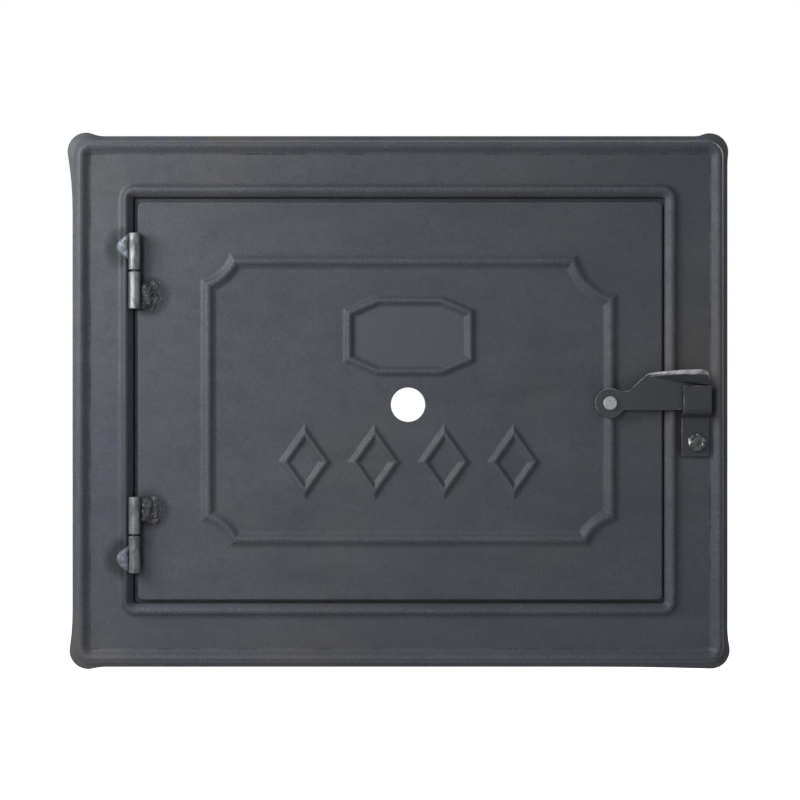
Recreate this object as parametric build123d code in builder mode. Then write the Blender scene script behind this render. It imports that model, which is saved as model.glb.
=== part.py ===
# Stove door for a masonry stove: a pressed sheet frame that beds on the wall, a pressed sheet
# door leaf on two weld-on barrel hinges, and a lever latch that drops into a strap keeper.
#
# Frame of reference: X runs from the hinge side to the latch side, +Z is up and -Y faces the
# user. The origin is the middle of the wall face, the plane that the frame's rim stands on.
# "Rise" below means distance in front of that plane, towards the user. All sizes are in mm.

import os
from math import atan2, cos, degrees, radians, sin, sqrt

from build123d import *

# Door leaf
door_width = 262.0
door_height = 198.8
door_sheet = 1.5
door_corner_radius = 2.4
door_centre_z = 0.3
seat_gap = 0.3  # between the closed leaf and the ledge behind it

# Frame: its flat border is flush with the leaf, between the outer rim and the opening's bead
frame_sheet = 1.5
face_rise = 10.0  # front of the flat border and of the leaf
border_side_flat = 14.0  # between the bead and the rim, at the latch side
border_end_flat = 12.9  # the same, above the opening

# Outer rim, from its inner foot over a rounded bead to the flared edge that stands on the wall
rim_width = 10.6
rim_corner_radius = 0.8  # at the foot of the bead
rim_bead_height = 2.6
rim_foot_flat = 1.1
rim_foot_radius = 2.6
rim_inner_radius = 2.6
rim_outer_radius = 1.6
rim_crest_run = 4.15  # from the foot to where the crest begins
rim_crest_flat = 2.3
rim_wall_slope = 0.236  # how far the steep outer wall leans out for each unit that it drops
rim_ear_rise = 8.6  # where the ears begin to swell out of the wall
rim_flare_rise = 5.2  # where the steep wall ends and the flared edge begins
rim_edge_rise = 3.4  # where the flared edge turns back to the wall
flare_sheet_drop = 1.1  # how far the flare's inner face lies behind its outer face

# Ears: the uneven swellings that the pressing leaves at the rim's corners. Each corner has its
# bulge past the side and the run that the bulge takes along it, then the same for its end.
ear_radius = 9.4
upper_left_ear = (2.5, 30.0, 1.75, 9.0)
upper_right_ear = (0.4, 8.0, 1.5, 7.5)
lower_left_ear = (1.5, 20.0, 1.1, 9.0)
lower_right_ear = (1.15, 11.5, 0.9, 60.0)
ear_start_share = 0.015  # share of the bulge where an ear begins, on the steep wall
ear_flare_share = 0.6  # share of the bulge where the flared edge begins

# Opening in the frame, with its raised bead, ledge and turned-back lip
hinge_side_gap = 2.0
latch_side_gap = 1.1
top_gap = 2.2
bottom_gap = 1.5
opening_corner_radius = 1.0
bead_height = 2.4
bead_wall_height = 0.2  # where the opening's wall bends into the bead, above the border
bead_wall_radius = 2.2
bead_slope_run = 3.1  # from the wall to where the crest begins
bead_inner_radius = 2.4
bead_crest_flat = 1.8
bead_outer_radius = 1.6
bead_outer_run = 1.9  # how far the crest's outer slope reaches
bead_foot_radius = 2.9
bead_foot_flat = 1.5
ledge_width = 9.0
lip_corner_radius = 5.0
lip_bend_radius = 2.4
lip_flat_run = 3.5  # from the lip's inner face to the flat of the ledge
lip_depth_behind_wall = 2.0

# Pressed ribs on the leaf
rib_width = 8.0
rib_height = 2.0
rib_foot_angle = 12.0  # at which a rib's rounded foot leaves the sheet
channel_narrowing = 3.0  # how much narrower a rib's hollow back is than its front
channel_floor = 1.2
panel_side_margin = 30.3  # from the leaf's side to the middle of the rib, before it is shifted
panel_end_margin = 29.9
panel_centre_x = 4.8
panel_centre_z = 0.6
notch_reach_x = 13.5
notch_reach_z = 11.9
notch_bow = 1.9  # how far a notch's arc stands off its chord
large_notch_reach = 19.2
large_notch_bow = 3.7
label_width = 60.6
label_height = 35.4
label_centre_z = 32.8
label_chamfer_x = 14.5
label_chamfer_z = 6.2
label_rib_width = 6.4
label_rib_height = 1.9
lozenge_count = 4
lozenge_pitch = 34.8
lozenge_width = 20.5
lozenge_height = 29.0
lozenge_centre_z = -30.2
lozenge_rib_width = 5.8
lozenge_rib_height = 1.7
vent_radius = 8.6
vent_x = 4.0
vent_z = -1.6

# Hinges
knuckle_radius = 3.0
knuckle_length = 18.5
knuckle_gap = 0.8
knuckle_wall_end = 3.0  # closed end of each barrel, beyond the pin
knuckle_edge = 0.3
hinge_axis_height = 4.2  # in front of the leaf
hinge_pitch = 131.4
hinge_centre_z = -0.7
pin_radius = 1.7
pin_clearance = 0.05
pin_end_clearance = 0.1
pin_point = 0.4  # chamfer at the free end of each pin
weld_length = 13.0
weld_edge = 1.5  # how far each end of a weld is cut off slantwise
weld_offset = 12.0  # from the joint between two barrels to the middle of a weld
frame_weld_reach = 4.9  # from the hinge axis to the middle of the frame's welds
frame_weld_height = 2.5
frame_weld_radius = 3.3
door_weld_reach = 4.4
door_weld_depth = 1.1  # of the middle of the leaf's welds behind its front
door_weld_radius = 4.4

# Latch lever, its pivot and its keeper
pivot_inset = 1.2  # from the middle of the leaf's rib, towards the hinges
pivot_z = -0.8
lever_thickness = 2.5
lever_height = 3.6  # of the lever's back in front of the leaf
lever_eye_radius = 7.4
lever_end_inset = 1.0  # from the keeper's outer side
lever_top = 6.0
lever_bottom = -3.4
neck_radius = 2.0  # of the rounded corners where the eye, the neck and the ramp meet
ramp_start = 9.2
ramp_end = 18.6
ramp_top = 14.6
fold_end_height = 9.7
grip_angle = 50.0
grip_start = 1.0  # along the fold, past the rounded corner
grip_depth = 8.2
grip_end_radius = 5.0
grip_root_depth = 0.6
grip_edge_slope = 0.2  # of the grip's outer edge at its deep end
pivot_radius = 3.0
pivot_clearance = 0.08
pivot_head_radius = 3.4
pivot_head_height = 1.1
pivot_head_edge = 0.3
pivot_float = 0.2  # play of the lever between its collar and the pivot's head
collar_radius = 5.5
washer_radius = 8.0
washer_thickness = 1.6
washer_edge = 0.4
rivet_tail_radius = 5.0
rivet_tail_height = 2.2
rivet_tail_edge = 0.9  # chamfer of its rim
keeper_clearance = 0.1  # between the strap and the curves beside the border's flat
keeper_sheet = 1.8
keeper_slot_play = 0.7  # in front of the lever, behind the strap's raised end
keeper_reach_up = 8.6  # from the pivot's height
keeper_reach_down = 26.7
keeper_bend_gap = 0.2  # under the lever's lower edge
keeper_ramp_height = 2.2
keeper_bend_radius = 1.4
keeper_corner_radius = 0.8
plug_weld_radius = 4.7
plug_weld_taper = 0.9  # how much smaller the keeper's hole is than the weld's head
plug_weld_height = 1.3
plug_weld_edge = 0.6  # chamfer of its rim
plug_weld_shift = 0.8  # from the middle of the strap
plug_weld_margin = 6.8  # from the strap's lower end to the middle of the weld

# Wall anchors
anchor_width = 15.0
anchor_sheet = 2.0
anchor_depth = 42.0  # behind the wall face
anchor_foot = 14.0
anchor_bend_radius = 1.6
anchor_pitch = 150.0
anchor_overlap = 7.0  # along the lip that each anchor is welded to
anchor_split_length = 9.0
anchor_split_width = 2.5

# Places that follow from the sizes above
door_back_rise = face_rise - door_sheet
ledge_rise = door_back_rise - seat_gap
ledge_back_rise = ledge_rise - frame_sheet
border_back_rise = face_rise - frame_sheet
opening_left = -door_width / 2 - hinge_side_gap
opening_right = door_width / 2 + latch_side_gap
opening_top = door_centre_z + door_height / 2 + top_gap
opening_bottom = door_centre_z - door_height / 2 - bottom_gap
opening_width = opening_right - opening_left
opening_height = opening_top - opening_bottom
opening_x = (opening_right + opening_left) / 2
opening_z = (opening_top + opening_bottom) / 2
lip_width = opening_width - 2 * ledge_width
lip_height = opening_height - 2 * ledge_width
bead_crest_end = bead_slope_run + bead_crest_flat
bead_width = bead_crest_end + bead_outer_run + bead_foot_flat
border_width = 2 * (opening_right + bead_width + border_side_flat)
border_height = 2 * (opening_top + bead_width + border_end_flat)
frame_width = border_width + 2 * rim_width
frame_height = border_height + 2 * rim_width
panel_width = door_width - 2 * panel_side_margin
panel_height = door_height - 2 * panel_end_margin
hinge_axis_x = opening_left + hinge_side_gap / 2
hinge_axis_rise = face_rise + hinge_axis_height
hinge_centre = (hinge_axis_x, -hinge_axis_rise)
bore_depth = knuckle_length - knuckle_wall_end
pivot_x = panel_centre_x + panel_width / 2 - pivot_inset
lever_back_rise = face_rise + lever_height
lever_front_rise = lever_back_rise + lever_thickness
keeper_left = opening_right + bead_width + keeper_clearance
keeper_width = border_side_flat - 2 * keeper_clearance
lever_length = keeper_left + keeper_width - lever_end_inset - pivot_x


def front(rise, x=0.0, z=0.0):
    """The plane at a given rise, as the user sees it: local x is to the right and local y is up."""
    return Plane(origin=(x, -rise, z), x_dir=(1, 0, 0), z_dir=(0, -1, 0))


def section(x, z):
    """A section at the middle of a loop's lower side: local x runs outwards and local y is the rise."""
    return Plane(origin=(x, 0, z), x_dir=(0, 0, -1), z_dir=(-1, 0, 0))


def loop(width, height, radius, x, z):
    """A rounded rectangle in the wall plane, drawn from the middle of its lower side."""
    half_w = width / 2
    half_h = height / 2
    with BuildLine(front(0, x, z)) as line:
        Line((0, -half_h), (half_w - radius, -half_h))
        RadiusArc((half_w - radius, -half_h), (half_w, radius - half_h), -radius)
        Line((half_w, radius - half_h), (half_w, half_h - radius))
        RadiusArc((half_w, half_h - radius), (half_w - radius, half_h), -radius)
        Line((half_w - radius, half_h), (radius - half_w, half_h))
        RadiusArc((radius - half_w, half_h), (-half_w, half_h - radius), -radius)
        Line((-half_w, half_h - radius), (-half_w, radius - half_h))
        RadiusArc((-half_w, radius - half_h), (radius - half_w, -half_h), -radius)
        Line((radius - half_w, -half_h), (0, -half_h))
    return line.wire()


def ear_blend(bulge, run, radius):
    """Where an ear meets the arc that blends it into a side: along the side, and out from it."""
    blend_radius = (run**2 + bulge**2) / (2 * bulge) - radius
    along = run * radius / (radius + blend_radius)
    return along, sqrt(radius**2 - along**2)


def rim_outline(inset, share, radius, rise):
    """The rim's outline at one rise, whose ears swell past its sides and blend back into them."""
    half_w = frame_width / 2 - inset
    half_h = frame_height / 2 - inset
    ears = {
        (-1, 1): upper_left_ear,
        (1, 1): upper_right_ear,
        (1, -1): lower_right_ear,
        (-1, -1): lower_left_ear,
    }
    side_ends = {}
    end_starts = {}
    with BuildSketch(front(rise)) as outline:
        with BuildLine():
            for (right, up), (side_bulge, side_run, end_bulge, end_run) in ears.items():
                centre_x = half_w - radius + share * side_bulge
                centre_z = half_h - radius + share * end_bulge
                side_near, side_far = ear_blend(share * side_bulge, side_run, radius)
                end_near, end_far = ear_blend(share * end_bulge, end_run, radius)
                side_end = (right * half_w, up * (centre_z - side_run))
                end_start = (right * (centre_x - end_run), up * half_h)
                meets_end = (right * (centre_x - end_near), up * (centre_z + end_far))
                meets_side = (right * (centre_x + side_far), up * (centre_z - side_near))
                corner = radius / sqrt(2)
                TangentArc(end_start, meets_end, tangent=(right, 0))
                ThreePointArc(
                    meets_end, (right * (centre_x + corner), up * (centre_z + corner)), meets_side
                )
                TangentArc(side_end, meets_side, tangent=(0, up))
                side_ends[right, up] = side_end
                end_starts[right, up] = end_start
            Line(end_starts[-1, 1], end_starts[1, 1])
            Line(side_ends[1, 1], side_ends[1, -1])
            Line(end_starts[1, -1], end_starts[-1, -1])
            Line(side_ends[-1, -1], side_ends[-1, 1])
        make_face()
    return outline.sketch


def bent_sheet(plane, points, radii, thickness):
    """The section of a bent sheet: one face follows the points and its thickness is on their right."""
    with BuildSketch(plane) as profile:
        with BuildLine():
            sheet_face = FilletPolyline(*points, radius=radii)
            offset(sheet_face, amount=thickness, side=Side.RIGHT, kind=Kind.INTERSECTION)
        make_face()
    return profile.sketch


def notched_panel(rise):
    """The centre line of the panel's rib: a rectangle with a bowed notch at each corner."""
    half_w = panel_width / 2
    half_h = panel_height / 2
    near_x = half_w - notch_reach_x
    near_z = half_h - notch_reach_z
    large_x = half_w - large_notch_reach
    large_z = half_h - large_notch_reach
    with BuildLine(front(rise, panel_centre_x, panel_centre_z)) as line:
        Line((0, -half_h), (near_x, -half_h))
        SagittaArc((near_x, -half_h), (half_w, -near_z), notch_bow)
        Line((half_w, -near_z), (half_w, large_z))
        SagittaArc((half_w, large_z), (large_x, half_h), large_notch_bow)
        Line((large_x, half_h), (-near_x, half_h))
        SagittaArc((-near_x, half_h), (-half_w, near_z), notch_bow)
        Line((-half_w, near_z), (-half_w, -near_z))
        SagittaArc((-half_w, -near_z), (-near_x, -half_h), notch_bow)
        Line((-near_x, -half_h), (0, -half_h))
    return line.wire()


def label_field(rise):
    """The centre line of the rib round the plain field: a rectangle with its corners cut off."""
    half_w = label_width / 2
    half_h = label_height / 2
    with BuildLine(front(rise, panel_centre_x, label_centre_z)) as line:
        Polyline(
            (0, -half_h),
            (half_w - label_chamfer_x, -half_h),
            (half_w, label_chamfer_z - half_h),
            (half_w, half_h - label_chamfer_z),
            (half_w - label_chamfer_x, half_h),
            (label_chamfer_x - half_w, half_h),
            (-half_w, half_h - label_chamfer_z),
            (-half_w, label_chamfer_z - half_h),
            (label_chamfer_x - half_w, -half_h),
            close=True,
        )
    return line.wire()


def lozenge(rise, x):
    """The centre line of one lozenge, drawn from the middle of a side."""
    half_w = lozenge_width / 2
    half_h = lozenge_height / 2
    with BuildLine(front(rise, x, lozenge_centre_z)) as line:
        Polyline(
            (half_w / 2, -half_h / 2),
            (half_w, 0),
            (0, half_h),
            (-half_w, 0),
            (0, -half_h),
            close=True,
        )
    return line.wire()


def rib_start(path):
    """The plane across a rib's path at its start: local x runs across and local y is the rise."""
    along = path % 0
    return Plane(origin=path @ 0, x_dir=along.cross(Vector(0, -1, 0)), z_dir=along * -1)


def rib(path, width, height):
    """A pressed rib on its path, with mitred corners, rounded feet and a rounded crest."""
    half = width / 2
    slope = radians(rib_foot_angle)
    with BuildPart() as swept:
        with BuildSketch(rib_start(path)):
            with BuildLine():
                TangentArc((-half, 0), (-half / 2, height / 2), tangent=(cos(slope), sin(slope)))
                ThreePointArc((-half / 2, height / 2), (0, height), (half / 2, height / 2))
                TangentArc((half, 0), (half / 2, height / 2), tangent=(-cos(slope), sin(slope)))
                Line((half, 0), (-half, 0))
            make_face()
        sweep(path=path, transition=Transition.RIGHT)
    return swept.part


def channel(path, width, height):
    """The hollow that a rib leaves in the back of the sheet."""
    with BuildPart() as swept:
        with BuildSketch(rib_start(path)):
            with BuildLine():
                Polyline(
                    (-width / 2, 0),
                    (-channel_floor / 2, height),
                    (channel_floor / 2, height),
                    (width / 2, 0),
                    close=True,
                )
            make_face()
        sweep(path=path, transition=Transition.RIGHT)
    return swept.part


def knuckle(joint_z, direction, bore_radius):
    """One barrel of a hinge, from the joint between its two barrels up or down to its closed end."""
    with BuildPart() as barrel:
        with BuildSketch(Plane.XY.offset(joint_z)):
            with Locations(hinge_centre):
                Circle(knuckle_radius)
        extrude(amount=direction * knuckle_length)
        chamfer(edges().filter_by(GeomType.CIRCLE), length=knuckle_edge)
        with BuildSketch(Plane.XY.offset(joint_z)):
            with Locations(hinge_centre):
                Circle(bore_radius)
        extrude(amount=direction * bore_depth, mode=Mode.SUBTRACT)
    return barrel.part


def hinge_pin(fixed_z, free_z):
    """A pin from the end of its fixed barrel's bore to just short of the other's."""
    with BuildPart() as pin:
        with BuildSketch(Plane.XY.offset(fixed_z)):
            with Locations(hinge_centre):
                Circle(pin_radius)
        extrude(amount=free_z - fixed_z)
        chamfer(edges().sort_by(Axis.Z)[-1 if free_z > fixed_z else 0], length=pin_point)
    return pin.part


def weld_bead(x, rise, z, radius, sheet, barrel):
    """A blunt bead of weld metal along a barrel, cut to seat on the barrel and on the sheet."""
    end = weld_length / 2
    with BuildPart() as bead:
        with BuildSketch(front(rise, x, z)):
            with BuildLine():
                Polyline(
                    (0, -end),
                    (radius - weld_edge, -end),
                    (radius, weld_edge - end),
                    (radius, end - weld_edge),
                    (radius - weld_edge, end),
                    (0, end),
                    close=True,
                )
            make_face()
        revolve(axis=Axis((x, -rise, z), (0, 0, 1)))
        add(sheet, mode=Mode.SUBTRACT)
        add(barrel, mode=Mode.SUBTRACT)
    return bead.part.solids().sort_by(Axis.Y)[0]


def anchor(x, side):
    """A strap on the back of the lip, above (side 1) or below (side -1) the opening."""
    lip_back_z = opening_z + side * (lip_height / 2 + frame_sheet)
    with BuildPart() as strap:
        bend = bent_sheet(
            Plane(origin=(x, 0, lip_back_z), x_dir=(0, 0, side), z_dir=(side, 0, 0)),
            [
                (anchor_foot, -anchor_depth),
                (0, -anchor_depth),
                (0, anchor_overlap - lip_depth_behind_wall),
            ],
            anchor_bend_radius + anchor_sheet,
            anchor_sheet,
        )
        extrude(bend, amount=anchor_width / 2, both=True)
        with BuildSketch(front(-anchor_depth, x, lip_back_z + side * anchor_foot)):
            Rectangle(anchor_split_width, 2 * anchor_split_length)
        extrude(amount=anchor_sheet, mode=Mode.SUBTRACT)
    return strap.part


# Flared edge of the frame, from the lower part of the steep wall down to the wall face, with the
# ears at its corners. Each face of the sheet is a stack of lofts between outlines.
wall_top_run = rim_crest_run + rim_crest_flat
ear_start_run = wall_top_run + rim_wall_slope * (face_rise + rim_bead_height - rim_ear_rise)
flare_run = wall_top_run + rim_wall_slope * (face_rise + rim_bead_height - rim_flare_rise)
wall_across = frame_sheet * sqrt(1 + rim_wall_slope**2)  # the steep wall's thickness, level
outer_steps = [
    rim_outline(
        rim_width - ear_start_run, ear_start_share, rim_corner_radius + ear_start_run, rim_ear_rise
    ),
    rim_outline(rim_width - flare_run, ear_flare_share, rim_corner_radius + flare_run, rim_flare_rise),
    rim_outline(0, 1, ear_radius, rim_edge_rise),
]
inner_steps = [
    rim_outline(
        rim_width - ear_start_run + wall_across,
        ear_start_share,
        rim_corner_radius + ear_start_run - wall_across,
        rim_ear_rise,
    ),
    rim_outline(
        rim_width - flare_run + frame_sheet,
        ear_flare_share,
        rim_corner_radius + flare_run - frame_sheet,
        rim_flare_rise - flare_sheet_drop,
    ),
    rim_outline(frame_sheet, 1, ear_radius - frame_sheet, rim_edge_rise - flare_sheet_drop),
]
with BuildPart() as flared_edge:
    for upper, lower in zip(outer_steps, outer_steps[1:]):
        loft([upper.face(), lower.face()], ruled=True)
    extrude(outer_steps[-1], amount=-rim_edge_rise)
    for upper, lower in zip(inner_steps, inner_steps[1:]):
        loft([upper.face(), lower.face()], ruled=True, mode=Mode.SUBTRACT)
    extrude(inner_steps[-1], amount=-rim_edge_rise, mode=Mode.SUBTRACT)

# Frame: a flat border, with the rim pressed up round its outside and turned back to the wall
with BuildPart() as frame:
    with BuildSketch(front(border_back_rise)):
        RectangleRounded(border_width, border_height, rim_corner_radius)
        with Locations((opening_x, opening_z)):
            RectangleRounded(
                opening_width + 2 * bead_width,
                opening_height + 2 * bead_width,
                opening_corner_radius + bead_width,
                mode=Mode.SUBTRACT,
            )
    extrude(amount=frame_sheet)

    # Outer bead and the upper part of its steep outer wall
    rim_section = bent_sheet(
        section(0, -border_height / 2),
        [
            (0, face_rise),
            (rim_foot_flat, face_rise),
            (rim_crest_run, face_rise + rim_bead_height),
            (wall_top_run, face_rise + rim_bead_height),
            (ear_start_run, rim_ear_rise),
        ],
        [rim_foot_radius, rim_inner_radius, rim_outer_radius],
        frame_sheet,
    )
    sweep(rim_section, path=loop(border_width, border_height, rim_corner_radius, 0, 0))

    add(flared_edge.part)

    # Ledge that the closed leaf lies against
    with BuildSketch(front(ledge_back_rise, opening_x, opening_z)):
        RectangleRounded(opening_width, opening_height, opening_corner_radius)
        RectangleRounded(
            lip_width + 2 * lip_flat_run,
            lip_height + 2 * lip_flat_run,
            lip_corner_radius + lip_flat_run,
            mode=Mode.SUBTRACT,
        )
    extrude(amount=frame_sheet)

    # Raised bead round the opening and the wall that drops from it to the ledge
    bead_section = bent_sheet(
        section(opening_x, opening_bottom),
        [
            (0, ledge_back_rise),
            (0, face_rise + bead_wall_height),
            (bead_slope_run, face_rise + bead_height),
            (bead_crest_end, face_rise + bead_height),
            (bead_crest_end + bead_outer_run, face_rise),
            (bead_width, face_rise),
        ],
        [bead_wall_radius, bead_inner_radius, bead_outer_radius, bead_foot_radius],
        frame_sheet,
    )
    sweep(
        bead_section,
        path=loop(opening_width, opening_height, opening_corner_radius, opening_x, opening_z),
    )

    # Lip turned back into the masonry
    lip_section = bent_sheet(
        section(opening_x, opening_z - lip_height / 2),
        [(0, -lip_depth_behind_wall), (0, ledge_rise), (lip_flat_run, ledge_rise)],
        lip_bend_radius,
        frame_sheet,
    )
    sweep(lip_section, path=loop(lip_width, lip_height, lip_corner_radius, opening_x, opening_z))

# Door leaf: one pressed sheet, whose ribs are raised in front and hollow behind
lozenge_start = panel_centre_x - (lozenge_count - 1) * lozenge_pitch / 2
lozenge_places = [lozenge_start + index * lozenge_pitch for index in range(lozenge_count)]
rib_back = rib_width - channel_narrowing
label_rib_back = label_rib_width - channel_narrowing
lozenge_rib_back = lozenge_rib_width - channel_narrowing
front_ribs = [
    rib(notched_panel(face_rise), rib_width, rib_height),
    rib(label_field(face_rise), label_rib_width, label_rib_height),
]
back_channels = [
    channel(notched_panel(door_back_rise), rib_back, rib_height),
    channel(label_field(door_back_rise), label_rib_back, label_rib_height),
]
for x in lozenge_places:
    front_ribs.append(rib(lozenge(face_rise, x), lozenge_rib_width, lozenge_rib_height))
    back_channels.append(channel(lozenge(door_back_rise, x), lozenge_rib_back, lozenge_rib_height))
with BuildPart() as door_leaf:
    with BuildSketch(front(door_back_rise, 0, door_centre_z)):
        RectangleRounded(door_width, door_height, door_corner_radius)
        with Locations((vent_x, vent_z - door_centre_z)):
            Circle(vent_radius, mode=Mode.SUBTRACT)
    extrude(amount=door_sheet)
    for raised in front_ribs:
        add(raised)
    for hollow in back_channels:
        add(hollow, mode=Mode.SUBTRACT)
    with BuildSketch(front(door_back_rise, pivot_x, pivot_z)):
        Circle(pivot_radius)
    extrude(amount=door_sheet + rib_height, mode=Mode.SUBTRACT)

# Hinge barrels and pins
frame_bore = pin_radius
door_bore = pin_radius + pin_clearance
upper_joint_z = hinge_centre_z + hinge_pitch / 2
lower_joint_z = hinge_centre_z - hinge_pitch / 2
half_gap = knuckle_gap / 2
upper_frame_knuckle = knuckle(upper_joint_z + half_gap, 1, frame_bore)
upper_door_knuckle = knuckle(upper_joint_z - half_gap, -1, door_bore)
lower_door_knuckle = knuckle(lower_joint_z + half_gap, 1, door_bore)
lower_frame_knuckle = knuckle(lower_joint_z - half_gap, -1, frame_bore)
pin_reach = half_gap + bore_depth
upper_hinge_pin = hinge_pin(
    upper_joint_z + pin_reach, upper_joint_z - pin_reach + pin_end_clearance
)
lower_hinge_pin = hinge_pin(
    lower_joint_z - pin_reach, lower_joint_z + pin_reach - pin_end_clearance
)

# Welds that hold the barrels to the frame's bead and to the leaf
with BuildPart() as leaf_front:
    with BuildSketch(front(0)):
        Rectangle(frame_width, frame_height)
    extrude(amount=face_rise)
frame_weld = (hinge_axis_x - frame_weld_reach, face_rise + frame_weld_height)
door_weld = (hinge_axis_x + door_weld_reach, face_rise - door_weld_depth)
upper_frame_weld = weld_bead(
    *frame_weld, upper_joint_z + weld_offset, frame_weld_radius, frame.part, upper_frame_knuckle
)
lower_frame_weld = weld_bead(
    *frame_weld, lower_joint_z - weld_offset, frame_weld_radius, frame.part, lower_frame_knuckle
)
upper_door_weld = weld_bead(
    *door_weld, upper_joint_z - weld_offset, door_weld_radius, leaf_front.part, upper_door_knuckle
)
lower_door_weld = weld_bead(
    *door_weld, lower_joint_z + weld_offset, door_weld_radius, leaf_front.part, lower_door_knuckle
)

# Latch pivot: a rivet through the leaf's rib, with a collar in front and a washer behind
washer_back_rise = door_back_rise - washer_thickness
with BuildPart() as latch_washer:
    with BuildSketch(front(washer_back_rise, pivot_x, pivot_z)):
        Circle(washer_radius)
        Circle(pivot_radius, mode=Mode.SUBTRACT)
    extrude(amount=washer_thickness)
    chamfer(edges().group_by(Axis.Y)[-1].sort_by(SortBy.RADIUS)[-1], length=washer_edge)
with BuildPart() as collar_blank:
    with BuildSketch(front(face_rise, pivot_x, pivot_z)):
        Circle(collar_radius)
        Circle(pivot_radius, mode=Mode.SUBTRACT)
    extrude(amount=lever_back_rise - face_rise)
    add(door_leaf.part, mode=Mode.SUBTRACT)
pivot_collar = collar_blank.part.solids().sort_by(SortBy.VOLUME)[-1]
head_back_rise = lever_front_rise + pivot_float
with BuildPart() as latch_pivot:
    with BuildSketch(front(washer_back_rise, pivot_x, pivot_z)):
        Circle(pivot_radius)
    extrude(amount=head_back_rise - washer_back_rise)
    with BuildSketch(front(head_back_rise, pivot_x, pivot_z)):
        Circle(pivot_head_radius)
    extrude(amount=pivot_head_height)
    chamfer(edges().group_by(Axis.Y)[0], length=pivot_head_edge)
    with BuildSketch(front(washer_back_rise - rivet_tail_height, pivot_x, pivot_z)):
        Circle(rivet_tail_radius)
    extrude(amount=rivet_tail_height)
    chamfer(edges().group_by(Axis.Y)[-1], length=rivet_tail_edge)

# Latch lever: a flat arm with an eye at its pivot and a thumb grip folded out along its top
fold_slope = atan2(fold_end_height - ramp_top, lever_length - ramp_end)
fold_length = (lever_length - ramp_end) / cos(fold_slope)
eye_meets_top = sqrt(lever_eye_radius**2 - lever_top**2)
eye_meets_bottom = sqrt(lever_eye_radius**2 - lever_bottom**2)
lever_plane = front(lever_back_rise, pivot_x, pivot_z)
fold_plane = front(lever_back_rise, pivot_x + ramp_end, pivot_z + ramp_top).rotated(
    (0, 0, degrees(fold_slope))
)
grip_plane = fold_plane.rotated((grip_angle, 0, 0))
with BuildPart() as latch_lever:
    with BuildSketch(lever_plane):
        with BuildLine():
            Polyline(
                (0, lever_bottom),
                (lever_length, lever_bottom),
                (lever_length, fold_end_height),
                (ramp_end, ramp_top),
                (ramp_start, lever_top),
                (0, lever_top),
                close=True,
            )
        make_face()
        Circle(lever_eye_radius)
        bends = [(eye_meets_top, lever_top), (eye_meets_bottom, lever_bottom)]
        bends += [(ramp_start, lever_top), (ramp_end, ramp_top)]
        fillet([vertices().sort_by_distance(bend)[0] for bend in bends], radius=neck_radius)
    extrude(amount=lever_thickness)
    with BuildSketch(grip_plane):
        with BuildLine():
            Line((grip_start, 0), (fold_length, 0))
            Line((fold_length, 0), (fold_length, grip_depth - grip_end_radius))
            RadiusArc(
                (fold_length, grip_depth - grip_end_radius),
                (fold_length - grip_end_radius, grip_depth),
                -grip_end_radius,
            )
            TangentArc(
                (fold_length - grip_end_radius, grip_depth),
                (grip_start, grip_root_depth),
                tangent=(-1, -grip_edge_slope),
            )
            Line((grip_start, grip_root_depth), (grip_start, 0))
        make_face()
    extrude(amount=lever_thickness)
    with BuildSketch(lever_plane):
        Circle(pivot_radius + pivot_clearance)
    extrude(amount=lever_thickness, mode=Mode.SUBTRACT)

# Keeper: a strap bent out from the frame, which holds the lever down behind its raised end
keeper_slot_rise = lever_front_rise + keeper_slot_play
keeper_top_z = pivot_z + keeper_reach_up
keeper_bottom_z = pivot_z - keeper_reach_down
keeper_bend_z = pivot_z + lever_bottom - keeper_bend_gap
plug_weld_x = keeper_left + keeper_width / 2 + plug_weld_shift
plug_weld_z = keeper_bottom_z + plug_weld_margin
with BuildPart() as latch_keeper:
    strap = bent_sheet(
        section(keeper_left + keeper_width, 0),
        [
            (-keeper_bottom_z, face_rise),
            (keeper_ramp_height - keeper_bend_z, face_rise),
            (-keeper_bend_z, keeper_slot_rise),
            (-keeper_top_z, keeper_slot_rise),
        ],
        [keeper_bend_radius + keeper_sheet, keeper_bend_radius],
        keeper_sheet,
    )
    extrude(strap, amount=keeper_width)
    strap_ends = edges().filter_by(Axis.Y).group_by(Axis.Z)
    fillet(strap_ends[0] + strap_ends[-1], radius=keeper_corner_radius)
    with BuildSketch(front(face_rise, plug_weld_x, plug_weld_z)):
        Circle(plug_weld_radius - plug_weld_taper)
    extrude(amount=keeper_sheet, mode=Mode.SUBTRACT)

# Plug weld that fills the keeper's hole and stands proud of it
with BuildPart() as keeper_plug_weld:
    with BuildSketch(front(face_rise, plug_weld_x, plug_weld_z)):
        Circle(plug_weld_radius - plug_weld_taper)
    extrude(amount=keeper_sheet)
    with BuildSketch(front(face_rise + keeper_sheet, plug_weld_x, plug_weld_z)):
        Circle(plug_weld_radius)
    extrude(amount=plug_weld_height)
    chamfer(edges().group_by(Axis.Y)[0], length=plug_weld_edge)

# Anchors that are walled in: straps on the back of the lip, with split ends bent outwards
anchor_left = opening_x - anchor_pitch / 2
anchor_right = opening_x + anchor_pitch / 2

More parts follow.
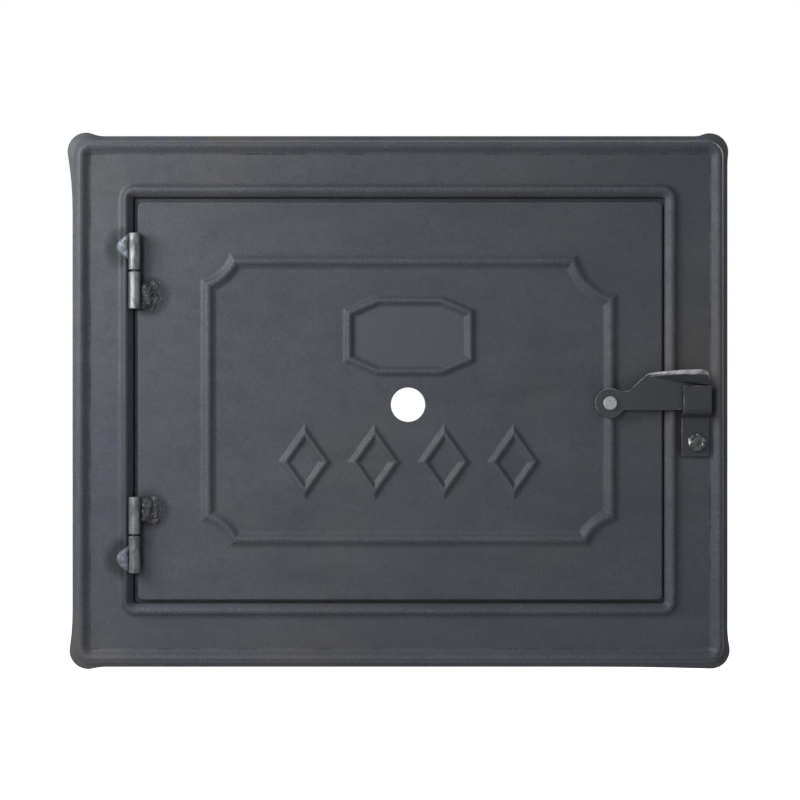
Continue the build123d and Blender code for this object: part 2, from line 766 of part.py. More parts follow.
pieces = {
    "frame": frame.part,
    "door_leaf": door_leaf.part,
    "upper_frame_knuckle": upper_frame_knuckle,
    "upper_door_knuckle": upper_door_knuckle,
    "lower_door_knuckle": lower_door_knuckle,
    "lower_frame_knuckle": lower_frame_knuckle,
    "upper_hinge_pin": upper_hinge_pin,
    "lower_hinge_pin": lower_hinge_pin,
    "upper_frame_weld": upper_frame_weld,
    "lower_frame_weld": lower_frame_weld,
    "upper_door_weld": upper_door_weld,
    "lower_door_weld": lower_door_weld,
    "latch_washer": latch_washer.part,
    "pivot_collar": pivot_collar,
    "latch_pivot": latch_pivot.part,
    "latch_lever": latch_lever.part,
    "latch_keeper": latch_keeper.part,
    "keeper_plug_weld": keeper_plug_weld.part,
    "upper_left_anchor": anchor(anchor_left, 1),
    "upper_right_anchor": anchor(anchor_right, 1),
    "lower_left_anchor": anchor(anchor_left, -1),
    "lower_right_anchor": anchor(anchor_right, -1),
}
os.makedirs("parts", exist_ok=True)
for name, solid in pieces.items():
    solid.label = name
    export_step(solid, f"parts/{name}.step")
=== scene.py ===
import math
import random

import bmesh
import bpy
from mathutils import Matrix, Vector, noise


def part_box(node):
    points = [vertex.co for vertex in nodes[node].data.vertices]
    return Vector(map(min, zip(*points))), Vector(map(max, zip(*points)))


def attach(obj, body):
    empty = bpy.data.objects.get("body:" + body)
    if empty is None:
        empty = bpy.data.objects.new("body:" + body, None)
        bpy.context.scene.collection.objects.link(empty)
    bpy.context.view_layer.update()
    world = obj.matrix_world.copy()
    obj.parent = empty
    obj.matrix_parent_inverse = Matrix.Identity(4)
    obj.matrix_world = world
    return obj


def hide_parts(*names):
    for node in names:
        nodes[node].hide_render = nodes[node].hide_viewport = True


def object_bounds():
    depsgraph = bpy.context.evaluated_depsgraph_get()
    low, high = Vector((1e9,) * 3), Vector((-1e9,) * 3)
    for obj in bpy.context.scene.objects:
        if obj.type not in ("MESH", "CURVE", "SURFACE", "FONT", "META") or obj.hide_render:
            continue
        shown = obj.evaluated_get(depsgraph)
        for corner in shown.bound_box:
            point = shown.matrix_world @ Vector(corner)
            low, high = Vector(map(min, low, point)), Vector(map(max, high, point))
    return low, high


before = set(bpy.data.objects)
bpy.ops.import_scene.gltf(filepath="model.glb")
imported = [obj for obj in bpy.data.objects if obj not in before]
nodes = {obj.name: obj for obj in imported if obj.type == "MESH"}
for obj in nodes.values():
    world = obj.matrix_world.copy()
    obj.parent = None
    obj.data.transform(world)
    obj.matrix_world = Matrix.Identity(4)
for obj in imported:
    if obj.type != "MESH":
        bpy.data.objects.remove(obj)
cad_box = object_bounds()

# Camera: straight on, at the height of the frame's middle
MM = 0.001
PHOTO_WIDTH = 400 * MM  # what the photograph spans at the leaf's face
PHOTO_PIXELS = 800
CAMERA_DISTANCE = 850 * MM
LEAF_FACE = 10 * MM
PHOTO_LIFT = 0.75 * MM  # the frame's middle stands this much below the photograph's middle
SENSOR = 36.0
FLOOR_DROP = 160 * MM
EYE = Vector((0, -CAMERA_DISTANCE - LEAF_FACE, PHOTO_LIFT))

# Colours, linear
SHEET_BLUE = (0.062, 0.069, 0.086)
SHEET_WARM = (0.069, 0.073, 0.081)
SHEET_DARK = (0.040, 0.042, 0.047)
SCALE_BROWN = (0.098, 0.086, 0.074)
FIELD_BLUE = (0.072, 0.079, 0.096)
STRAP_DARK = (0.046, 0.048, 0.053)
BRIGHT_STEEL = (0.205, 0.21, 0.22)
DIRTY_STEEL = (0.07, 0.072, 0.076)
WELD_GREY = (0.085, 0.092, 0.105)
WELD_BLUE = (0.13, 0.145, 0.18)
# Bright bare steel of scuffed edges and polished grips, also used for painted highlights and glints
BRIGHT_WEAR_AND_HIGHLIGHT = (0.6, 0.6, 0.6)
FLECK = (0.26, 0.27, 0.28)
# Painted shade: the near-black that ambient occlusion mixes into gaps, creases and hollows
OCCLUSION_SHADE = (0.006, 0.006, 0.007)
# Dark of scorched steel, also the colour of painted shade and shadow beside the opening, round the upper
# frame knuckle and along the rim's foot
HEAT_DARK_AND_SHADE = (0.014, 0.014, 0.016)
PLUG_WELD_DARK = (0.07, 0.078, 0.078)
LEVER_DARK = (0.06, 0.063, 0.07)
RIVET_BRIGHT = (0.42, 0.425, 0.435)
WORLD_LIGHT = (0.13, 0.135, 0.15)
FLOOR_WHITE = (0.85, 0.85, 0.85, 1)

# Surfaces
SHEET_METAL = 0.0
SHEET_GLOSS = 0.27
SHEET_BEND = 0.9 * MM  # radius that the shading gives to the sheet's sharp edges
STRAP_BEND = 0.4 * MM
WEAR_REACH = 0.9 * MM
CREST_LOW = 11.0 * MM  # how far in front of the wall the ribs and beads begin to be lightened, partly a painted highlight
CREST_HIGH = 12.2 * MM
WELD_VOXEL = 0.32 * MM
TAPER_MIDDLE = 1.15  # width of a tapered weld at its middle, as a share of the solid's


def new_material(name):
    """A node material with its tree and its shader."""
    material = bpy.data.materials.new(name)
    material.use_nodes = True
    tree = material.node_tree
    return material, tree, tree.nodes["Principled BSDF"]


def add_node(tree, kind, **values):
    """Adds a node and sets its sockets by name, or its properties."""
    node = tree.nodes.new(kind)
    for key, value in values.items():
        if key in node.inputs:
            node.inputs[key].default_value = value
        else:
            setattr(node, key, value)
    return node


def place(tree, stretch=(1.0, 1.0, 1.0)):
    """Coordinates fixed to the object, stretched along its axes."""
    coordinates = add_node(tree, "ShaderNodeTexCoord")
    if stretch == (1.0, 1.0, 1.0):
        return coordinates.outputs["Object"]
    mapping = add_node(tree, "ShaderNodeMapping")
    mapping.inputs["Scale"].default_value = stretch
    tree.links.new(coordinates.outputs["Object"], mapping.inputs["Vector"])
    return mapping.outputs["Vector"]


def texture(tree, scale, detail=4.0, roughness=0.55, stretch=(1.0, 1.0, 1.0)):
    """Noise fixed to the object, at a scale per metre."""
    node = add_node(tree, "ShaderNodeTexNoise", Scale=scale, Detail=detail, Roughness=roughness)
    tree.links.new(place(tree, stretch), node.inputs["Vector"])
    return node.outputs["Fac"]


def remap(tree, source, low, high, to_low=0.0, to_high=1.0):
    """Stretches a value from one range to another, clamped."""
    node = add_node(tree, "ShaderNodeMapRange")
    node.inputs["From Min"].default_value = low
    node.inputs["From Max"].default_value = high
    node.inputs["To Min"].default_value = to_low
    node.inputs["To Max"].default_value = to_high
    tree.links.new(source, node.inputs["Value"])
    return node.outputs["Result"]


def math_node(tree, operation, first, second):
    """One sum of two values or sockets."""
    node = add_node(tree, "ShaderNodeMath", operation=operation)
    for socket, value in zip(node.inputs, (first, second)):
        if isinstance(value, float):
            socket.default_value = value
        else:
            tree.links.new(value, socket)
    return node.outputs["Value"]


def mix_colour(tree, factor, first, second, blend_type="MIX"):
    """Mixes two colours or colour sockets by a value socket."""
    node = add_node(tree, "ShaderNodeMix", data_type="RGBA", blend_type=blend_type)
    tree.links.new(factor, node.inputs["Factor"])
    for index, value in ((6, first), (7, second)):
        if isinstance(value, tuple):
            node.inputs[index].default_value = (*value, 1.0)
        else:
            tree.links.new(value, node.inputs[index])
    return node.outputs[2]


def apart(tree, value, other):
    """How far a value socket lies from a number."""
    return math_node(tree, "ABSOLUTE", math_node(tree, "SUBTRACT", value, other), 0.0)


def nearness(tree, point, inner, outer):
    """One within a distance of a point, fading to nothing at another, with a ragged rim."""
    distance = add_node(tree, "ShaderNodeVectorMath", operation="DISTANCE")
    tree.links.new(place(tree), distance.inputs[0])
    distance.inputs[1].default_value = point
    ragged = math_node(tree, "MULTIPLY_ADD", texture(tree, 210.0, 4.0, 0.7), (outer - inner) * 1.6)
    ragged.node.inputs[2].default_value = (inner - outer) * 0.8
    ragged_distance = math_node(tree, "ADD", distance.outputs["Value"], ragged)
    return remap(tree, ragged_distance, inner, outer, 1.0, 0.0)


def inside_field(tree, centre, half_w, half_h, cut_x, cut_z):
    """One inside an upright eight-sided field on the leaf, nothing outside it."""
    parts = add_node(tree, "ShaderNodeSeparateXYZ")
    tree.links.new(place(tree), parts.inputs["Vector"])
    across = apart(tree, parts.outputs["X"], centre[0])
    up = apart(tree, parts.outputs["Z"], centre[1])
    slant = math_node(tree, "DIVIDE", across, cut_x)
    slant = math_node(tree, "ADD", slant, math_node(tree, "DIVIDE", up, cut_z))
    limit = (half_w / cut_x) + (half_h / cut_z) - 1.0
    in_x = remap(tree, across, half_w - 0.4 * MM, half_w, 1.0, 0.0)
    in_z = remap(tree, up, half_h - 0.4 * MM, half_h, 1.0, 0.0)
    in_slant = remap(tree, slant, limit - 0.05, limit, 1.0, 0.0)
    return math_node(tree, "MULTIPLY", math_node(tree, "MULTIPLY", in_x, in_z), in_slant)


def outside_rectangle(tree, centre, half_w, half_h):
    """How far a point lies outside an upright rectangle, with its three coordinates."""
    parts = add_node(tree, "ShaderNodeSeparateXYZ")
    tree.links.new(place(tree), parts.inputs["Vector"])
    across = apart(tree, parts.outputs["X"], centre[0])
    up = apart(tree, parts.outputs["Z"], centre[1])
    beside = math_node(tree, "SUBTRACT", across, half_w)
    return math_node(tree, "MAXIMUM", beside, math_node(tree, "SUBTRACT", up, half_h)), parts


def opening_painted_shade(tree, centre, half_w, half_h, reach):
    """Painted shade on the bead beside the opening: strong at the hinge side, which faces away from the
    lamps, thin above and below, none at the latch.
    """
    outside, parts = outside_rectangle(tree, centre, half_w, half_h)
    near = remap(tree, outside, 0.0, reach, 1.0, 0.0)
    left = centre[0] - half_w
    right = centre[0] + half_w
    hinge_side = remap(tree, parts.outputs["X"], left, left + 8 * MM, 0.8, 0.35)
    latch_side = remap(tree, parts.outputs["X"], right - 8 * MM, right, 1.0, 0.0)
    return math_node(tree, "MULTIPLY", near, math_node(tree, "MULTIPLY", hinge_side, latch_side))


def band(tree, value, middle_value, half_width):
    """One at a value, fading to nothing at half a width to either side."""
    return remap(tree, apart(tree, value, middle_value), 0.3 * half_width, half_width, 1.0, 0.0)


def rim_foot_shade_and_scale(tree, colour, half_w, half_h):
    """Broken painted shade in the crease along the rim's inner foot, and scale on its flared edge."""
    outside, _ = outside_rectangle(tree, (0.0, 0.0), half_w, half_h)
    broken = remap(tree, texture(tree, 75.0, 5.0, 0.75), 0.50, 0.60)
    foot_shade = math_node(tree, "MULTIPLY", band(tree, outside, 0.6 * MM, 0.7 * MM), broken)
    # Painted shade: the crease at the rim's foot darkened in broken dashes
    colour = mix_colour(tree, math_node(tree, "MULTIPLY", foot_shade, 0.7), colour, HEAT_DARK_AND_SHADE)
    flare = math_node(tree, "MULTIPLY", remap(tree, outside, 7.5 * MM, 9.5 * MM), broken)
    return mix_colour(tree, math_node(tree, "MULTIPLY", flare, 0.7), colour, SCALE_BROWN)


def lamp_facing_sharp_edges(tree, radius, strength):
    """Sharp edges, weighted most where they face up and to the left, the side the lamps light, where they
    are scuffed bright and partly given a painted highlight.
    """
    bevel = add_node(tree, "ShaderNodeBevel", samples=6, Radius=radius)
    geometry = add_node(tree, "ShaderNodeNewGeometry")
    dot = add_node(tree, "ShaderNodeVectorMath", operation="DOT_PRODUCT")
    tree.links.new(bevel.outputs["Normal"], dot.inputs[0])
    tree.links.new(geometry.outputs["Normal"], dot.inputs[1])
    sharp = remap(tree, dot.outputs["Value"], 0.985, 0.88, 0.0, strength)
    turn = add_node(tree, "ShaderNodeVectorTransform", vector_type="NORMAL", convert_from="WORLD",
                    convert_to="OBJECT")
    tree.links.new(bevel.outputs["Normal"], turn.inputs["Vector"])
    lamp_facing = add_node(tree, "ShaderNodeVectorMath", operation="DOT_PRODUCT")
    tree.links.new(turn.outputs["Vector"], lamp_facing.inputs[0])
    # Edges that face up and to the left, towards the lamps, are made brightest: a painted highlight
    lamp_facing.inputs[1].default_value = (-0.6, 0.0, 0.8)
    return math_node(tree, "MULTIPLY", sharp, remap(tree, lamp_facing.outputs["Value"], 0.0, 0.3, 0.12, 1.0))


def crevice(tree, distance, low, high):
    """One where the surface is hemmed in, nothing where it is open: the mask for painted shade."""
    node = add_node(tree, "ShaderNodeAmbientOcclusion", samples=8, Distance=distance)
    return remap(tree, node.outputs["AO"], low, high, 1.0, 0.0)


def tinted(colour, share):
    """A colour made darker or lighter by a share."""
    return tuple(share * value for value in colour)


def rolled_colour(tree, cool, warm, brown):
    """Blotches, smears, grit and stains of rolled sheet, with the noises that made them."""
    blotch = texture(tree, 11.0, 5.0, 0.6)
    smear = texture(tree, 60.0, 6.0, 0.62, (0.4, 1.0, 1.0))
    mottle = texture(tree, 170.0, 6.0, 0.7)
    sand = texture(tree, 950.0, 3.0, 0.7)
    dark = tinted(cool, 0.72)
    colour = mix_colour(tree, remap(tree, blotch, 0.36, 0.66), cool, warm)
    colour = mix_colour(tree, remap(tree, smear, 0.45, 0.68, 0.0, 0.6), colour, dark)
    colour = mix_colour(tree, remap(tree, smear, 0.42, 0.28, 0.0, 0.5), colour, tinted(cool, 1.28))
    colour = mix_colour(tree, remap(tree, mottle, 0.52, 0.72, 0.0, 0.45), colour, dark)
    colour = mix_colour(tree, remap(tree, sand, 0.54, 0.70, 0.0, 0.35), colour, tinted(cool, 1.6))
    colour = mix_colour(tree, remap(tree, sand, 0.46, 0.32, 0.0, 0.4), colour, SHEET_DARK)
    flecks = texture(tree, 1500.0, 1.0, 0.5)
    colour = mix_colour(tree, remap(tree, flecks, 0.73, 0.77, 0.0, 0.5), colour, FLECK)
    if brown:
        stain = math_node(tree, "MULTIPLY", remap(tree, blotch, 0.5, 0.7), brown)
        colour = mix_colour(tree, stain, colour, SCALE_BROWN)
    return colour, mottle, sand


def rubbed_and_highlit_crests(tree, colour, cool, sand):
    """The tops of ribs and beads, lightened grain by grain by rubbing, and partly a painted highlight."""
    parts = add_node(tree, "ShaderNodeSeparateXYZ")
    tree.links.new(place(tree), parts.inputs["Vector"])
    crest = remap(tree, parts.outputs["Y"], -CREST_LOW, -CREST_HIGH, 0.0, 1.0)
    rub_and_highlight = math_node(tree, "MULTIPLY", crest, remap(tree, sand, 0.50, 0.66, 0.0, 0.25))
    # Lighter crests: rubbing, and partly a painted highlight
    return mix_colour(tree, rub_and_highlight, colour, tinted(cool, 2.6))


def heat_rings_and_painted_shade(tree, colour, heat_and_shade_rings, opening_shade):
    """Scorch rings round the welds, painted shadow rings given with them, and painted shade beside the
    opening.
    """
    darkenings = [opening_painted_shade(tree, *opening_shade)] if opening_shade else []
    for point, inner, outer, strength in heat_and_shade_rings:
        darkenings.append(math_node(tree, "MULTIPLY", nearness(tree, point, inner, outer), strength))
    if not darkenings:
        return colour
    darkening = darkenings[0]
    for one_darkening in darkenings[1:]:
        darkening = math_node(tree, "MAXIMUM", darkening, one_darkening)
    # Scorch round the welds, with painted shade and shadow where the rings and the opening mask say
    return mix_colour(tree, darkening, colour, HEAT_DARK_AND_SHADE)


def polished_and_highlit_grip(tree, colour, mottle, low, high):
    """Steel lightened above a height: polished by handling, and partly a painted highlight along the grip's
    top edge.
    """
    parts = add_node(tree, "ShaderNodeSeparateXYZ")
    tree.links.new(place(tree), parts.inputs["Vector"])
    rub_and_highlight = remap(tree, parts.outputs["Z"], low, high, 0.0, 1.0)
    rub_and_highlight = math_node(tree, "MULTIPLY", rub_and_highlight, remap(tree, mottle, 0.40, 0.55, 0.3, 1.0))
    return mix_colour(tree, rub_and_highlight, colour, BRIGHT_WEAR_AND_HIGHLIGHT)


def worn_and_highlit_edges(tree, colour, wear_and_highlight):
    """Patchy bright scuffs along sharp edges, strongest on the lamp side, and partly a painted highlight.
    """
    patches = remap(tree, texture(tree, 330.0, 4.0, 0.6), 0.36, 0.6)
    worn_and_highlit = math_node(tree, "MULTIPLY", lamp_facing_sharp_edges(tree, WEAR_REACH, wear_and_highlight), patches)
    return mix_colour(tree, worn_and_highlit, colour, BRIGHT_WEAR_AND_HIGHLIGHT)


def sheet_relief(tree, shader, sand, softness):
    """Sandy grain and shallow dents in the shading, and bends at the sheet's sharp edges."""
    grain = add_node(tree, "ShaderNodeBump", Strength=0.8, Distance=0.22 * MM)
    tree.links.new(sand, grain.inputs["Height"])
    dents = add_node(tree, "ShaderNodeBump", Strength=0.6, Distance=0.9 * MM)
    tree.links.new(texture(tree, 26.0, 3.0, 0.5), dents.inputs["Height"])
    soft_edge = add_node(tree, "ShaderNodeBevel", samples=8, Radius=softness)
    tree.links.new(soft_edge.outputs["Normal"], dents.inputs["Normal"])
    tree.links.new(dents.outputs["Normal"], grain.inputs["Normal"])
    tree.links.new(grain.outputs["Normal"], shader.inputs["Normal"])


def sheet_look(name, cool=SHEET_BLUE, warm=SHEET_WARM, heat_and_shade_rings=(), field=None, opening_shade=None, rim=None,
               brown=0.0, wear_and_highlight=0.0, polish_and_highlight=None, softness=SHEET_BEND):
    """Bare rolled sheet: blotches, smears, sandy grain, painted shade in gaps and beside the opening, and
    scorch rings round the welds with any painted shadow rings given among them.
    """
    material, tree, shader = new_material(name)
    colour, mottle, sand = rolled_colour(tree, cool, warm, brown)
    if field:
        colour = mix_colour(tree, inside_field(tree, *field), colour, FIELD_BLUE)
    if not wear_and_highlight:
        colour = rubbed_and_highlit_crests(tree, colour, cool, sand)
    if rim:
        colour = rim_foot_shade_and_scale(tree, colour, *rim)
    colour = heat_rings_and_painted_shade(tree, colour, heat_and_shade_rings, opening_shade)
    if polish_and_highlight:
        colour = polished_and_highlit_grip(tree, colour, mottle, *polish_and_highlight)
    if wear_and_highlight:
        colour = worn_and_highlit_edges(tree, colour, wear_and_highlight)
    # Painted shade: ambient occlusion darkens the sheet in gaps, creases and recesses
    colour = mix_colour(tree, crevice(tree, 5 * MM, 0.30, 0.72), colour, OCCLUSION_SHADE)
    tree.links.new(colour, shader.inputs["Base Color"])
    tree.links.new(remap(tree, mottle, 0.34, 0.66, 0.38, 0.54), shader.inputs["Roughness"])
    shader.inputs["Metallic"].default_value = SHEET_METAL
    shader.inputs["Specular IOR Level"].default_value = SHEET_GLOSS
    sheet_relief(tree, shader, sand, softness)
    return material


def steel_look(name, base, roughness, dirt, metallic=0.5):
    """Turned steel that has been handled: smears of dirt, dark specks and a softened edge."""
    material, tree, shader = new_material(name)
    smear = texture(tree, 240.0, 5.0, 0.65, (1.0, 1.0, 0.5))
    speck = texture(tree, 1100.0, 3.0, 0.6)
    colour = mix_colour(tree, remap(tree, smear, 0.44, 0.62, 0.0, dirt), base, DIRTY_STEEL)
    colour = mix_colour(tree, remap(tree, speck, 0.56, 0.70, 0.0, 0.6), colour, DIRTY_STEEL)
    # Painted shade: ambient occlusion darkens the steel where parts meet
    colour = mix_colour(tree, crevice(tree, 2 * MM, 0.3, 0.8), colour, OCCLUSION_SHADE)
    tree.links.new(colour, shader.inputs["Base Color"])
    tree.links.new(remap(tree, smear, 0.3, 0.7, roughness, roughness + 0.16), shader.inputs["Roughness"])
    shader.inputs["Metallic"].default_value = metallic
    shader.inputs["Specular IOR Level"].default_value = SHEET_GLOSS
    grain = add_node(tree, "ShaderNodeBump", Strength=0.4, Distance=0.06 * MM)
    tree.links.new(speck, grain.inputs["Height"])
    edge = add_node(tree, "ShaderNodeBevel", samples=4, Radius=0.3 * MM)
    tree.links.new(edge.outputs["Normal"], grain.inputs["Normal"])
    tree.links.new(grain.outputs["Normal"], shader.inputs["Normal"])
    return material


def weld_look(name, base=WELD_GREY, darkening=1.0, painted_highlight=None):
    """Weld metal: scaly grey and blue, with bright specks that are partly painted glints, and painted shade
    in its hollows.
    """
    material, tree, shader = new_material(name)
    lumps = texture(tree, 420.0, 4.0, 0.6)
    scale = texture(tree, 900.0, 4.0, 0.7)
    colour = mix_colour(tree, remap(tree, lumps, 0.40, 0.62, 0.0, darkening), base, HEAT_DARK_AND_SHADE)
    # Bright specks on the scale: bare metal, and partly painted glints
    colour = mix_colour(tree, remap(tree, scale, 0.60, 0.70, 0.0, 0.8), colour, BRIGHT_WEAR_AND_HIGHLIGHT)
    # Painted highlight: a bright spot where the lamps catch the weld
    if painted_highlight:
        colour = mix_colour(tree, nearness(tree, *painted_highlight), colour, BRIGHT_WEAR_AND_HIGHLIGHT)
    # Painted shade: ambient occlusion darkens the weld's hollows and its edges against the sheet
    colour = mix_colour(tree, crevice(tree, 2 * MM, 0.35, 0.8), colour, OCCLUSION_SHADE)
    tree.links.new(colour, shader.inputs["Base Color"])
    tree.links.new(remap(tree, lumps, 0.4, 0.6, 0.3, 0.6), shader.inputs["Roughness"])
    shader.inputs["Metallic"].default_value = 0.3
    grain = add_node(tree, "ShaderNodeBump", Strength=0.7, Distance=0.2 * MM)
    tree.links.new(scale, grain.inputs["Height"])
    tree.links.new(grain.outputs["Normal"], shader.inputs["Normal"])
    return material


def give(material, *names):
    """Gives a material to CAD nodes."""
    for name in names:
        mesh = nodes[name].data
        mesh.materials.clear()
        mesh.materials.append(material)


def middle(name):
    """The middle of a node's box."""
    low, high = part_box(name)
    return tuple((low + high) / 2)


# Scorch rings, and one ring of painted shadow: middle, dark radius, outer radius, strength
frame_heat = [(middle("keeper_plug_weld"), 3 * MM, 8 * MM, 0.5)]
door_heat_and_knuckle_shadow = []
for name in ("upper_frame_weld", "lower_frame_weld"):
    frame_heat.append((middle(name), 8.5 * MM, 12.5 * MM, 0.8))
for name in ("upper_door_weld", "lower_door_weld"):
    x, y, z = middle(name)
    door_heat_and_knuckle_shadow.append(((x + 3 * MM, y, z), 7 * MM, 11 * MM, 0.85))
# Painted shadow: the upper frame knuckle's shade on the leaf, as a dark ring round it
door_heat_and_knuckle_shadow.append((middle("upper_frame_knuckle"), 4 * MM, 17 * MM, 0.35))
# Opening: middle, half width, half height, reach of the painted shade
opening = ((-1.95 * MM, 0.65 * MM), 134.05 * MM, 101.25 * MM, 3.2 * MM)
# Rim's inner foot: half width and half height
rim_foot = (154.4 * MM, 123.1 * MM)
# Eight-sided field: middle, half width, half height, and how far its cut corners reach in and down
label = ((4.8 * MM, 32.8 * MM), 27.5 * MM, 15.0 * MM, 12.5 * MM, 5.6 * MM)

# The frame's bead beside the opening gets painted shade, and its rim foot painted crease shade
sheet_frame = sheet_look("frame_sheet_look", heat_and_shade_rings=frame_heat, opening_shade=opening, rim=rim_foot, brown=0.35)
sheet_door = sheet_look("door_sheet_look", heat_and_shade_rings=door_heat_and_knuckle_shadow, field=label, brown=0.12)
strap = sheet_look("strap_look", cool=STRAP_DARK, warm=SHEET_DARK, wear_and_highlight=0.5, softness=STRAP_BEND)
# The lever's grip is painted bright along its top: polished by handling, and partly a painted highlight
lever_steel = sheet_look("lever_look", cool=LEVER_DARK, warm=STRAP_DARK, wear_and_highlight=0.65,
                         polish_and_highlight=(13.1 * MM, 13.9 * MM), softness=STRAP_BEND)
weld_metal = weld_look("weld_look")
plug_low, plug_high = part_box("keeper_plug_weld")
# Painted highlight on the plug weld's upper left front flank, the side the lamps light
plug_highlight_spot = (plug_low.x + 0.4 * MM, plug_low.y, (plug_low.z + plug_high.z) / 2 + 0.8 * MM)
plug_painted_highlight = (plug_highlight_spot, 0.5 * MM, 1.7 * MM)
plug_metal = weld_look("plug_weld_look", PLUG_WELD_DARK, 0.7, plug_painted_highlight)
blue_weld = weld_look("blue_weld_look", WELD_BLUE, 0.35)
barrel_steel = steel_look("barrel_look", BRIGHT_STEEL, 0.30, 0.85, 0.6)
rivet_steel = steel_look("rivet_look", RIVET_BRIGHT, 0.42, 0.15, 0.2)

give(sheet_frame, "frame")
give(sheet_door, "door_leaf")
give(strap, "latch_keeper", "latch_washer", "pivot_collar")
give(strap, "upper_left_anchor", "upper_right_anchor", "lower_left_anchor", "lower_right_anchor")
give(lever_steel, "latch_lever")
give(weld_metal, "upper_frame_weld", "lower_frame_weld", "upper_door_weld", "lower_door_weld")
give(plug_metal, "keeper_plug_weld")
give(barrel_steel, "upper_frame_knuckle", "upper_door_knuckle", "lower_door_knuckle")
give(barrel_steel, "lower_frame_knuckle", "upper_hinge_pin", "lower_hinge_pin")
give(rivet_steel, "latch_pivot")


# Weld metal and spatter
def finish_piece(mesh, name, material, body):
    """Links a mesh as a piece that rides on a body."""
    mesh.materials.clear()
    mesh.materials.append(material)
    for polygon in mesh.polygons:
        polygon.use_smooth = True
    piece = bpy.data.objects.new(name, mesh)
    bpy.context.scene.collection.objects.link(piece)
    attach(piece, body)
    return piece


def lumpy_weld(node_name, body, look, seed, swell, sprawl, ripple=0.0, blobs=(), taper=0.0):
    """Weld metal grown from the CAD solid and blobs at its edges, made lumpy and narrowed at its ends."""
    shape = bmesh.new()
    shape.from_mesh(nodes[node_name].data)
    for spot, radius, height in blobs:
        matrix = Matrix.Translation(spot) @ Matrix.Diagonal((radius, height, radius, 1.0))
        bmesh.ops.create_icosphere(shape, subdivisions=3, radius=1.0, matrix=matrix)
    grown = bpy.data.meshes.new("weld_source")
    shape.to_mesh(grown)
    shape.free()
    source = bpy.data.objects.new("weld_source", grown)
    bpy.context.scene.collection.objects.link(source)
    remesh = source.modifiers.new("remesh", "REMESH")
    remesh.mode = "VOXEL"
    remesh.voxel_size = WELD_VOXEL
    smooth = source.modifiers.new("smooth", "SMOOTH")
    smooth.factor = 0.5
    smooth.iterations = 8
    depsgraph = bpy.context.evaluated_depsgraph_get()
    mesh = bpy.data.meshes.new_from_object(source.evaluated_get(depsgraph))
    bpy.data.objects.remove(source)
    shift = Vector((seed * 3.1, seed * 1.7, seed * 2.3))
    low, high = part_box(node_name)
    for vertex in mesh.vertices:
        point = vertex.co / MM
        lump = noise.fractal(point * 0.5 + shift, 0.8, 2.2, 3)
        ring = math.sin(point.z * 2.6 + 1.5 * noise.noise(point * 0.3 + shift))
        spread = noise.noise(point * 0.22 + shift) + 0.5 * noise.noise(point * 0.5 - shift)
        vertex.co += vertex.normal * MM * (swell * lump + ripple * ring)
        vertex.co += Vector((vertex.normal.x, 0, vertex.normal.z)) * MM * sprawl * spread
        if taper:
            end = (2 * vertex.co.z - low.z - high.z) / (high.z - low.z)
            vertex.co.x = high.x - (high.x - vertex.co.x) * (TAPER_MIDDLE - taper * end * end)
    piece = finish_piece(mesh, node_name + "_metal", look, body)
    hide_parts(node_name)


def on_surface(node_name, pixel_x, pixel_y):
    """The point and normal of a CAD surface that a pixel of the photograph shows."""
    step = PHOTO_WIDTH / PHOTO_PIXELS
    half = PHOTO_PIXELS / 2
    aim = Vector(((pixel_x - half) * step, -LEAF_FACE, (half - pixel_y) * step + PHOTO_LIFT))
    found, point, normal, _ = nodes[node_name].ray_cast(EYE, (aim - EYE).normalized())
    return (point, normal) if found else None


def spatter(name, node_name, body, drops):
    """Droplets of weld metal frozen on a sheet, as one piece."""
    shape = bmesh.new()
    for pixel_x, pixel_y, radius in drops:
        hit = on_surface(node_name, pixel_x, pixel_y)
        if hit is None:
            continue
        point, normal = hit
        turn = normal.to_track_quat("Z", "Y").to_matrix().to_4x4()
        flat = Matrix.Diagonal((1.0, 1.0, 0.62, 1.0))
        made = bmesh.ops.create_icosphere(shape, subdivisions=3, radius=radius * MM)
        bmesh.ops.transform(shape, matrix=Matrix.Translation(point) @ turn @ flat, verts=made["verts"])
    for vertex in shape.verts:
        vertex.co += vertex.normal * 0.12 * MM * noise.noise(vertex.co / MM * 1.3)
    mesh = bpy.data.meshes.new(name)
    shape.to_mesh(mesh)
    shape.free()
    finish_piece(mesh, name, weld_metal, body)


def blobs_beside(node_name, count, spread_x, spread_z, shift_x, seed):
    """Places for blobs of metal that lie on a sheet round a weld."""
    chance = random.Random(seed)
    low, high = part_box(node_name)
    blobs = []
    for _ in range(count):
        x = (low.x + high.x) / 2 + shift_x + chance.uniform(-spread_x, spread_x)
        z = (low.z + high.z) / 2 + chance.uniform(-spread_z, spread_z)
        radius = chance.uniform(1.5, 2.8) * MM
        blobs.append((Vector((x, -LEAF_FACE, z)), radius, radius * chance.uniform(0.18, 0.32)))
    return blobs


for side, seed in (("upper", 1), ("lower", 2)):
    lumpy_weld(side + "_frame_weld", "frame", blue_weld, seed, 0.22, 0.5, 0.03, taper=0.85)
    node_name = side + "_door_weld"
    lumpy_weld(node_name, "door", weld_metal, seed + 2, 0.34, 0.8, 0.03,
               blobs_beside(node_name, 44, 2.9 * MM, 5.4 * MM, 2.2 * MM, seed + 2))
lumpy_weld("keeper_plug_weld", "frame", plug_metal, 5, 0.55, 0.4)

rng = random.Random(7)
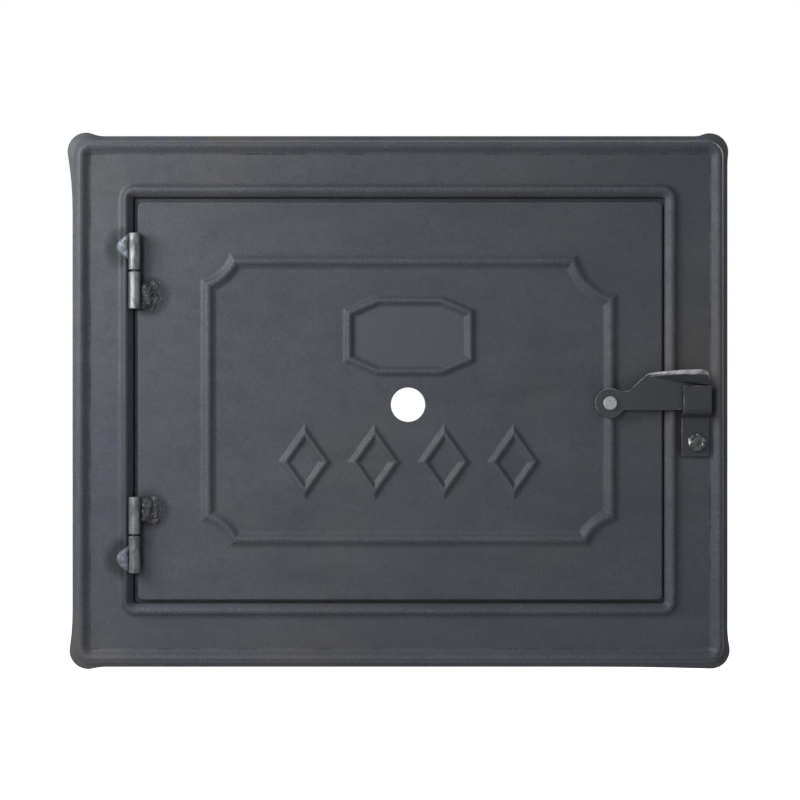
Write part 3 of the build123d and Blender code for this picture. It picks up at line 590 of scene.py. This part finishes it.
# Droplets: photo pixel across, photo pixel down, radius in millimetres
frame_drops = [(672, 459, 0.5), (668, 466, 0.25), (121, 262, 0.45), (126, 226, 0.4), (118, 570, 0.4)]
frame_drops += [(rng.gauss(116, 5), rng.gauss(243, 16), rng.uniform(0.15, 0.3)) for _ in range(14)]
frame_drops += [(rng.gauss(114, 4), rng.gauss(556, 14), rng.uniform(0.15, 0.3)) for _ in range(12)]
door_drops = [(609, 431, 0.35), (604, 462, 0.3), (160, 283, 0.6), (163, 300, 0.45), (158, 311, 0.5)]
door_drops += [(rng.gauss(160, 5), rng.gauss(296, 10), rng.uniform(0.2, 0.45)) for _ in range(16)]
door_drops += [(rng.gauss(160, 5), rng.gauss(504, 9), rng.uniform(0.2, 0.45)) for _ in range(14)]
spatter("frame_spatter", "frame", "frame", frame_drops)
spatter("door_spatter", "door_leaf", "door", door_drops)


# Floor, lights and camera
def studio():
    """A white floor well below the part and a white surround."""
    bpy.ops.mesh.primitive_plane_add(size=12, location=(0, 0, cad_box[0].z - FLOOR_DROP))
    floor = bpy.context.object
    floor.name = "floor"
    material, tree, shader = new_material("floor_look")
    shader.inputs["Base Color"].default_value = FLOOR_WHITE
    shader.inputs["Roughness"].default_value = 0.9
    glow = add_node(tree, "ShaderNodeEmission", Strength=0.9)
    both = add_node(tree, "ShaderNodeAddShader")
    chosen = add_node(tree, "ShaderNodeMixShader")
    path = add_node(tree, "ShaderNodeLightPath")
    tree.links.new(shader.outputs["BSDF"], both.inputs[0])
    tree.links.new(glow.outputs["Emission"], both.inputs[1])
    tree.links.new(path.outputs["Is Camera Ray"], chosen.inputs["Fac"])
    tree.links.new(shader.outputs["BSDF"], chosen.inputs[1])
    tree.links.new(both.outputs["Shader"], chosen.inputs[2])
    tree.links.new(chosen.outputs["Shader"], tree.nodes["Material Output"].inputs["Surface"])
    floor.data.materials.append(material)

    world = bpy.data.worlds.new("studio")
    bpy.context.scene.world = world
    world.use_nodes = True
    tree = world.node_tree
    path = add_node(tree, "ShaderNodeLightPath")
    seen = math_node(tree, "MAXIMUM", path.outputs["Is Camera Ray"], path.outputs["Is Glossy Ray"])
    seen = math_node(tree, "MAXIMUM", seen, path.outputs["Is Transmission Ray"])
    colour = mix_colour(tree, seen, WORLD_LIGHT, (1.0, 1.0, 1.0))
    tree.links.new(colour, tree.nodes["Background"].inputs["Color"])


def lamp(name, spot, size, power, tint=(1.0, 1.0, 1.0)):
    """A square soft box aimed at the part's middle."""
    light = bpy.data.lights.new(name, "AREA")
    light.shape = "SQUARE"
    light.size = size
    light.energy = power
    light.color = tint
    holder = bpy.data.objects.new(name, light)
    holder.location = spot
    holder.rotation_euler = (-Vector(spot)).to_track_quat("-Z", "Y").to_euler()
    bpy.context.scene.collection.objects.link(holder)


def camera():
    """The photograph's view, straight on."""
    data = bpy.data.cameras.new("camera")
    data.sensor_width = SENSOR
    data.lens = SENSOR * CAMERA_DISTANCE / PHOTO_WIDTH
    holder = bpy.data.objects.new("camera", data)
    holder.location = EYE
    holder.rotation_euler = (math.radians(90), 0, 0)
    bpy.context.scene.collection.objects.link(holder)
    bpy.context.scene.camera = holder


studio()
lamp("key", (-0.46, -0.29, 0.21), 0.28, 2.75)
lamp("sheen", (-0.40, -1.15, 0.16), 0.40, 2.9)
lamp("back", (0.85, 0.95, 0.60), 0.50, 7.0)
camera()
bpy.context.scene.view_settings.view_transform = "Standard"
